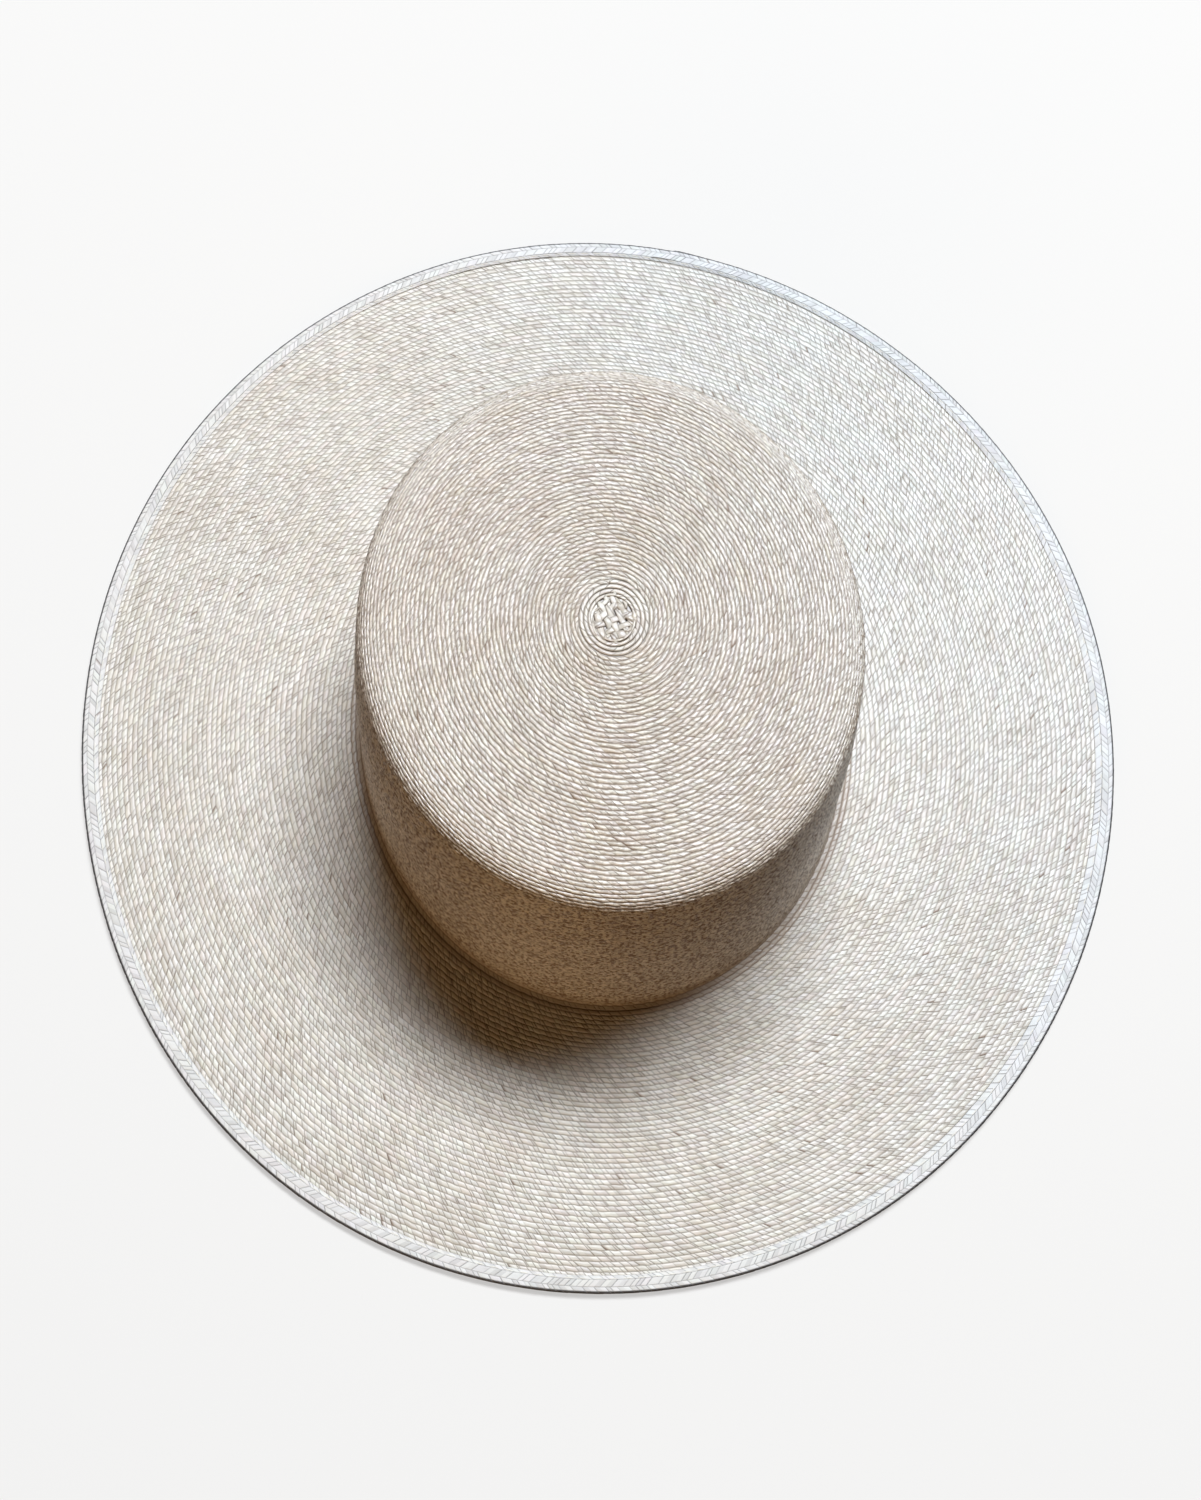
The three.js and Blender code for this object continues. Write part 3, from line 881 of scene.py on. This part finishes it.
def crown_flecks_and_painted_shade(n, place_at, colour, warm, gap):
    """Painted shade on the crown's shoulder and side, dark fleck noise that is stronger on the side as partly
    painted shade, and painted shade at the side's foot.
    """
    height_at = n.along(place_at, UPWARDS)
    # The shoulder and side are painted warmer and darker: painted shade.
    low, high = (HAT_HEIGHT - drop for drop in SHOULDER_SHADE_FADE)
    colour = n.mix(n.share(height_at, low, high, SHOULDER_PAINTED_SHADE, 0.0), colour, warm)
    flecked = n.share(n.noise(place_at, FLECKS_PER_METRE, 3.0), 0.42, 0.62)
    low, high = (HAT_HEIGHT - drop for drop in FLECK_FADE)
    # The flecks are stronger on the side, partly as painted shade.
    strength = n.share(height_at, low, high, *FLECK_AND_SIDE_SHADE_STRENGTH)
    low, high = (BRIM_TOP + rise for rise in FLECK_FOOT)
    strength = n.times(strength, n.share(height_at, low, high))
    colour = n.mix(n.times(flecked, strength), colour, gap)
    # Painted shade, darker towards the side's foot.
    return n.mix(n.share(height_at, BRIM_TOP, BRIM_TOP + PAINTED_FOOT_SHADE_HEIGHT, PAINTED_FOOT_SHADE, 0.0), colour, gap)


def straw_material(name, pale, warm, gap, slant=STRAND_SLANT, gap_width=0.1, groove_width=0.17,
                   groove_shade=0.3, splits=TOP_SPLITS, flecks_and_painted_shade=False, shine=0.22, fold_shade_at=None):
    """Split palm leaf: strands with their own tone, fibres along them, dark gaps at their ends and sides, the
    sides' darkness partly painted shade in the grooves.
    Flecks are small dark patches, which also bring the crown's painted shade, and the fold shade is a place
    in V painted nearly black: painted shade at a fold."""
    n = Nodes(name)
    along, across = n.weave()
    place_at = n.position()
    rib = n.maths("FLOOR", across)
    over = n.minus(across, rib)
    slanted = n.minus(along, n.times(over, slant))
    strand = n.maths("FLOOR", slanted)
    half_strand = n.maths("FLOOR", n.times(slanted, 2.0))
    share = n.minus(slanted, strand)
    own_tone = n.random(n.vector(strand, rib, 3.0))
    half_shade = n.random(n.vector(half_strand, rib, 5.0))
    own_wear = n.random(n.vector(strand, rib, 8.0))
    own_tint = n.random(n.vector(strand, rib, 12.0), output=1)
    end_gap = strand_gaps(n, share, own_tone, own_wear, gap_width, splits)
    to_side = n.maths("MINIMUM", over, n.minus(1.0, over))
    groove = n.share(to_side, 0.0, groove_width, 1.0, 0.0)
    # Fibres run along the strand, and slow patches run over many.
    fibres = n.noise(n.vector(n.times(slanted, 1.8), n.times(across, 7.0), own_tone), 1.0, 3.0)
    patches = n.share(n.noise(place_at, 45.0, 3.0), 0.35, 0.65)
    blend = n.plus(n.times(own_tone, 0.35), n.times(fibres, 0.5))
    blend = n.plus(blend, n.times(patches, 0.2))
    colour = n.mix(n.share(blend, 0.1, 1.0), pale, warm)
    colour = n.mix(0.02, colour, own_tint)
    # A cool tint painted towards the window's side: painted window light.
    painted_window_light = n.share(n.along(place_at, PAINTED_WINDOW_WAY), PAINTED_WINDOW_FROM, PAINTED_WINDOW_TO)
    colour = n.mix(painted_window_light, colour, PAINTED_WINDOW_TINT, "MULTIPLY")
    colour = n.mix(n.share(half_shade, 0.3, 1.0, 0.0, 0.24), colour, gap)
    # One strand in a hundred has a brown mark near one end.
    mark = n.times(n.maths("GREATER_THAN", own_wear, 0.99), n.share(share, 0.35, 0.05))
    colour = n.mix(n.times(mark, 0.7), colour, MARK_COLOUR)
    # The crown's flecks, and its painted shade on the shoulder, side and foot.
    if flecks_and_painted_shade:
        colour = crown_flecks_and_painted_shade(n, place_at, colour, warm, gap)
    # The plait's fold is painted nearly black: painted shade that draws a dark line round the brim's edge.
    if fold_shade_at is not None:
        to_fold_shade = n.maths("ABSOLUTE", n.minus(across, fold_shade_at))
        colour = n.mix(n.share(to_fold_shade, 0.85, 1.06, 1.0, 0.0), colour, PAINTED_FOLD_SHADE_COLOUR)
    # The grooves are darkened partly as the straw's dark joints and partly as painted shade in them.
    dark = n.maths("MAXIMUM", n.times(end_gap, 0.9), n.times(groove, groove_shade))
    height = n.minus(n.times(fibres, 0.3), n.maths("MAXIMUM", end_gap, groove))
    n.set(base_color=n.mix(dark, colour, gap))
    n.set(roughness=n.plus(shine, n.times(fibres, 0.26)))
    n.set(normal=n.bump(height, 0.16 * MM, 0.8))
    return n.material


def ribbon_material():
    """Grosgrain: fine ribs across a cotton ribbon."""
    n = Nodes("grosgrain")
    place_at = n.position()
    ribs = n.maths("SINE", n.times(n.weave()[0], FULL_TURN))
    yarn = n.noise(place_at, 2200.0, 2.0)
    wear = n.noise(place_at, 40.0, 3.0)
    shade = n.plus(n.times(ribs, 0.18), n.times(yarn, 0.5))
    colour = n.mix(n.share(shade, 0.0, 0.6), (0.42, 0.33, 0.21, 1), (0.60, 0.50, 0.36, 1))
    colour = n.mix(n.share(wear, 0.45, 0.8, 0.0, 0.3), colour, (0.40, 0.30, 0.19, 1))
    n.set(base_color=colour, roughness=0.85)
    n.set(normal=n.bump(n.plus(ribs, yarn), 0.1 * MM, 0.6))
    return n.material


def thread_material():
    n = Nodes("cotton_thread")
    twist = n.noise(n.position(), 3000.0, 2.0)
    n.set(base_color=n.mix(twist, (0.66, 0.60, 0.48, 1), (0.82, 0.77, 0.66, 1)), roughness=0.75)
    return n.material


def metal_material():
    n = Nodes("wire_metal")
    scratches = n.noise(n.position(), 900.0, 3.0)
    n.set(base_color=(0.45, 0.44, 0.42, 1), metallic=1.0)
    n.set(roughness=n.plus(0.28, n.times(scratches, 0.2)))
    return n.material


def floor_material():
    """Pale paper that glows, and more so further away, so that the hat's shadow on it stays faint."""
    n = Nodes("floor_paper")
    place_at = n.position()
    grain = n.noise(place_at, 900.0, 2.0)
    far = n.add("ShaderNodeVectorMath", {0: place_at}, output=1, operation="LENGTH")
    glow = n.share(far, *FLOOR_GLOW_REACH, *FLOOR_GLOW)
    n.set(base_color=(0.31, 0.288, 0.252, 1), roughness=0.9)
    n.set(emission_color=(1, 1, 1, 1), emission_strength=glow)
    n.set(normal=n.bump(grain, 0.05 * MM, 0.2))
    return n.material


# ---------------------------------------------------------------------------------------------
# Stage, light and camera
# ---------------------------------------------------------------------------------------------

def make_floor():
    bpy.ops.mesh.primitive_plane_add(size=FLOOR_SIZE)
    floor = bpy.context.object
    floor.name = "floor"
    floor.data.materials.append(floor_material())
    floor.visible_diffuse = False  # the hat's shaded side stays dark, as against a dark room
    floor.visible_glossy = False


def add_light(kind, name, towards, distance, colour):
    """A light that shines on the hat from a direction, and its settings."""
    lamp = bpy.data.lights.new(name, kind)
    lamp.color = colour
    light = bpy.data.objects.new(name, lamp)
    light.location = Vector(towards).normalized() * distance
    light.rotation_euler = Vector(towards).to_track_quat("Z", "Y").to_euler()
    bpy.context.scene.collection.objects.link(light)
    return lamp


def make_light():
    """A wide cool window high behind the hat, and a faint warm fill from the room in front of it."""
    level = math.cos(WINDOW_HEIGHT)
    towards = level * math.cos(WINDOW_TURN), level * math.sin(WINDOW_TURN), math.sin(WINDOW_HEIGHT)
    window = add_light("AREA", "window", towards, WINDOW_DISTANCE, WINDOW_COLOUR)
    window.shape = "RECTANGLE"
    window.size, window.size_y = WINDOW_SIZE
    window.energy = WINDOW_POWER
    room = add_light("SUN", "room", ROOM_WAY, 1.0, ROOM_COLOUR)
    room.angle = ROOM_ANGLE
    room.energy = ROOM_STRENGTH


def make_world():
    """A pale surround that only the camera sees, so that the light above makes all the shadows."""
    world = bpy.data.worlds.new("surround")
    world.use_nodes = True
    world.node_tree.nodes["Background"].inputs["Color"].default_value = (0.95, 0.95, 0.95, 1)
    for ray in ("diffuse", "glossy", "transmission", "scatter"):
        setattr(world.cycles_visibility, ray, False)
    bpy.context.scene.world = world


def make_camera():
    """Above and a little in front of the hat, which is turned a little in the picture."""
    aim = Vector(CAMERA_AIM)
    aim.rotate(Matrix.Rotation(-CAMERA_TWIST, 3, "Z"))
    sideways = math.sin(CAMERA_TILT)
    back = Vector((-sideways * math.sin(CAMERA_TWIST),
                   -sideways * math.cos(CAMERA_TWIST),
                   math.cos(CAMERA_TILT)))
    right = Vector((math.cos(CAMERA_TWIST), -math.sin(CAMERA_TWIST), 0))
    up = back.cross(right)
    camera_data = bpy.data.cameras.new("camera")
    camera_data.lens = CAMERA_LENS
    camera_data.clip_start = CAMERA_NEAR
    camera = bpy.data.objects.new("camera", camera_data)
    basis = Matrix((right, up, back)).transposed()
    turned = basis @ Matrix.Rotation(-CAMERA_ROLL, 3, "Z")
    camera.matrix_world = Matrix.Translation(aim + back * CAMERA_DISTANCE) @ turned.to_4x4()
    bpy.context.scene.collection.objects.link(camera)
    bpy.context.scene.camera = camera


crown_straw = straw_material("crown_straw", pale=(0.79, 0.715, 0.60, 1), warm=(0.66, 0.555, 0.42, 1),
                             gap=(0.17, 0.105, 0.06, 1), groove_width=0.22, groove_shade=0.72, flecks_and_painted_shade=True)
rosette_straw = straw_material("rosette_straw", pale=(0.76, 0.69, 0.58, 1), warm=(0.54, 0.44, 0.32, 1),
                               gap=(0.16, 0.105, 0.065, 1), groove_width=0.25, groove_shade=0.85)
brim_straw = straw_material("brim_straw", pale=(0.74, 0.68, 0.57, 1), warm=(0.625, 0.535, 0.415, 1),
                            gap=(0.16, 0.11, 0.07, 1), groove_shade=0.47, splits=BRIM_SPLITS, shine=0.28)
# The plait's material paints shade along its fold.
pale_plait = straw_material("pale_plait", pale=(0.73, 0.68, 0.60, 1), warm=(0.68, 0.625, 0.545, 1),
                            gap=(0.23, 0.21, 0.19, 1), slant=0.0, gap_width=0.09, groove_width=0.08,
                            groove_shade=0.25, shine=0.5, fold_shade_at=PLAIT_COLUMNS / 2)
ribbon = ribbon_material()
thread = thread_material()
metal = metal_material()

straw_pieces(Spiral(), crown_straw, brim_straw)
finish_piece(rosette_base(), rosette_straw, "palm_straw", "crown_button")
finish_piece(rosette_strands(), rosette_straw, "palm_straw", "crown_button")
finish_piece(edge_plait(), pale_plait, "pale_plait", "edge_braid")
finish_piece(edge_flat_row(), pale_plait, "pale_plait", "edge_row")
seam = stitches("edge_stitches", thread_high.x - THREAD_WIDTH / 2, thread_low.z + SEAM_LIFT,
                SEAM_PITCH, SEAM_STITCH, 0, UPWARDS)
finish_piece(seam, thread, "thread", "edge_thread")
finish_piece(wire(), metal, "wire", "brim_wire")
finish_piece(ribbon_band(), ribbon, "ribbon", "sweatband")
finish_piece(ribbon_tab(), ribbon, "ribbon", "sweatband_tab")
stitch_level = (stitch_low.z + stitch_high.z) / 2
band_seam = stitches("sweatband_stitches", stitch_high.x - THREAD_WIDTH / 2, stitch_level,
                     BAND_SEAM_PITCH, BAND_STITCH, BAND_STITCH_LEAN, None)
finish_piece(band_seam, thread, "thread", "sweatband_thread")

make_floor()
make_light()
make_world()
make_camera()
bpy.context.scene.view_settings.view_transform = "Standard"
